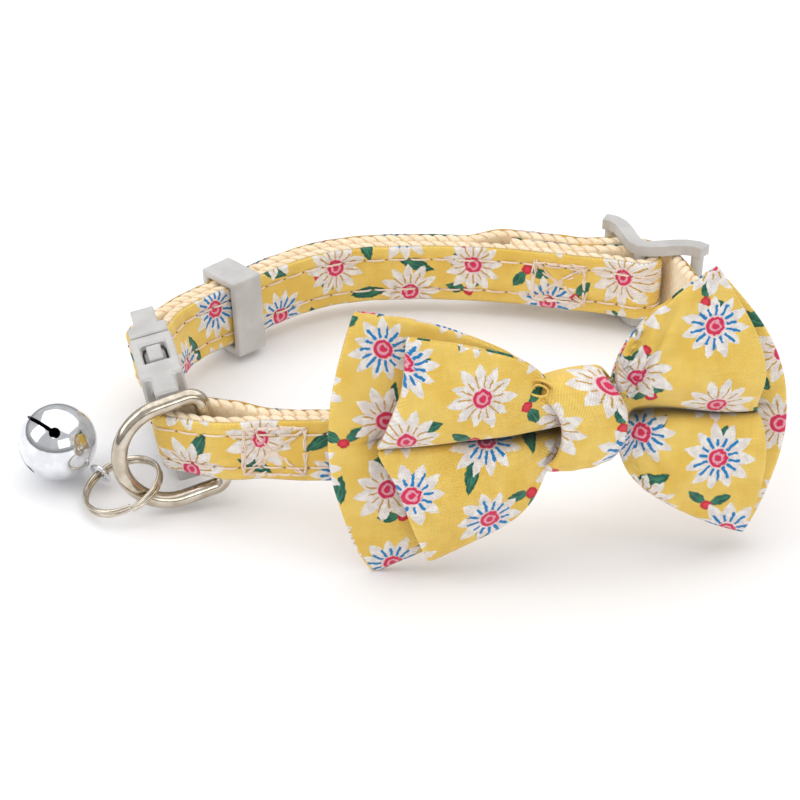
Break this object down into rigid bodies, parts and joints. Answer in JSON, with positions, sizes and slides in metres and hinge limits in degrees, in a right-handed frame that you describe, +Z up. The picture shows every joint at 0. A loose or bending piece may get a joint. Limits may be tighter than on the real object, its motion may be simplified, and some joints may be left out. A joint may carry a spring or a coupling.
{
  "type": "pet bow tie collar",
  "caption": "Small pet collar in floral yellow cotton over cream webbing, with a side release buckle, slider, D-ring, bell and a two layer bow tie.",
  "frame": {"origin": "middle of the base, on the plane that the collar lies on", "axes": "+X to the bow's right side as seen from the front, -Y to the front, which the bow faces, +Z up"},
  "size_m": [0.1128, 0.0798, 0.0429],
  "materials": {
    "printed_cotton": "plain weave cotton with a small floral print",
    "cream_webbing": "soft thick yarn webbing",
    "grey_plastic": "satin moulded plastic",
    "warm_nickel": "polished nickel plate",
    "bright_chrome": "mirror chrome plate",
    "cream_elastic": "flat knitted elastic"
  },
  "bodies": {
    "root": {"strap_webbing": "cream_webbing", "strap_cover": "printed_cotton", "buckle_female": "grey_plastic", "buckle_male": "grey_plastic", "keeper_loop": "grey_plastic", "slider": "grey_plastic", "d_ring": "warm_nickel", "split_ring": "warm_nickel", "bell_shell": "bright_chrome", "bell_pellet": "warm_nickel", "bell_eye": "bright_chrome", "bow_back_layer": "printed_cotton", "bow_front_layer": "printed_cotton", "bow_knot": "printed_cotton", "bow_loop": "cream_elastic"}
  },
  "joints": []
}
